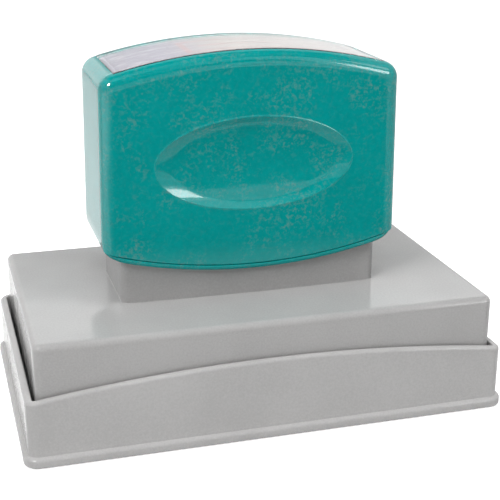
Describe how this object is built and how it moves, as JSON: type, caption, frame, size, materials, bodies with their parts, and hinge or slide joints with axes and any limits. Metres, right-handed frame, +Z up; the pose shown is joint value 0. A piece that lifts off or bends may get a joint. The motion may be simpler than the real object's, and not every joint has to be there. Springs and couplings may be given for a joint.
{
  "type": "pre-inked stamp",
  "caption": "Hand stamp in an arched dust cover: grey skirt with a neck, a sprung printing unit inside, and a teal pull-off handle with oval dishes and a windowed label.",
  "frame": {"origin": "centre of the dust cover's flat underside", "axes": "+X along the stamp, left to right; +Y from front to back; +Z up"},
  "size_m": [0.12, 0.0718, 0.0893],
  "materials": {
    "grey_plastic": "moulded, satin gloss",
    "teal_plastic": "moulded, glossy, faintly mottled",
    "clear_plastic": "clear, polished",
    "label_paper": "coated paper, matt",
    "black_plastic": "moulded, matt",
    "ink_felt": "inked felt",
    "die_rubber": "porous printing rubber",
    "natural_plastic": "moulded, uncoloured",
    "black_rubber": "soft rubber",
    "spring_steel": "drawn wire, bright"
  },
  "bodies": {
    "cover": {"dust_cover": "grey_plastic"},
    "skirt": {"skirt_housing": "grey_plastic"},
    "plunger": {"die_holder": "black_plastic", "ink_pad": "ink_felt", "stamp_die": "die_rubber", "die_frame": "black_plastic", "ink_tube_left": "natural_plastic", "ink_tube_right": "natural_plastic", "tube_seals": "black_rubber", "tube_screws": "spring_steel", "stop_buffers": "black_rubber", "yoke": "natural_plastic", "retaining_clips": "spring_steel", "grip_pads": "black_rubber", "return_spring_left": "spring_steel", "return_spring_right": "spring_steel"},
    "handle": {"handle_shell": "teal_plastic", "handle_base": "teal_plastic", "index_label": "label_paper"},
    "window": {"label_window": "clear_plastic"}
  },
  "joints": [
    {"name": "stamp_lift", "type": "slide", "parent": "cover", "child": "skirt", "axis": [0, 0, 1], "range_m": [0, 0.025]},
    {"name": "handle_press", "type": "slide", "parent": "skirt", "child": "plunger", "axis": [0, 0, -1], "range_m": [0, 0.004], "stiffness_N_per_m": 1500, "springref_m": -0.005, "deforming": ["return_spring_left", "return_spring_right"]},
    {"name": "handle_pull", "type": "slide", "parent": "plunger", "child": "handle", "axis": [0, 0, 1], "range_m": [0, 0.04]},
    {"name": "window_lift", "type": "slide", "parent": "handle", "child": "window", "axis": [0, 0, 1], "range_m": [0, 0.012]}
  ]
}
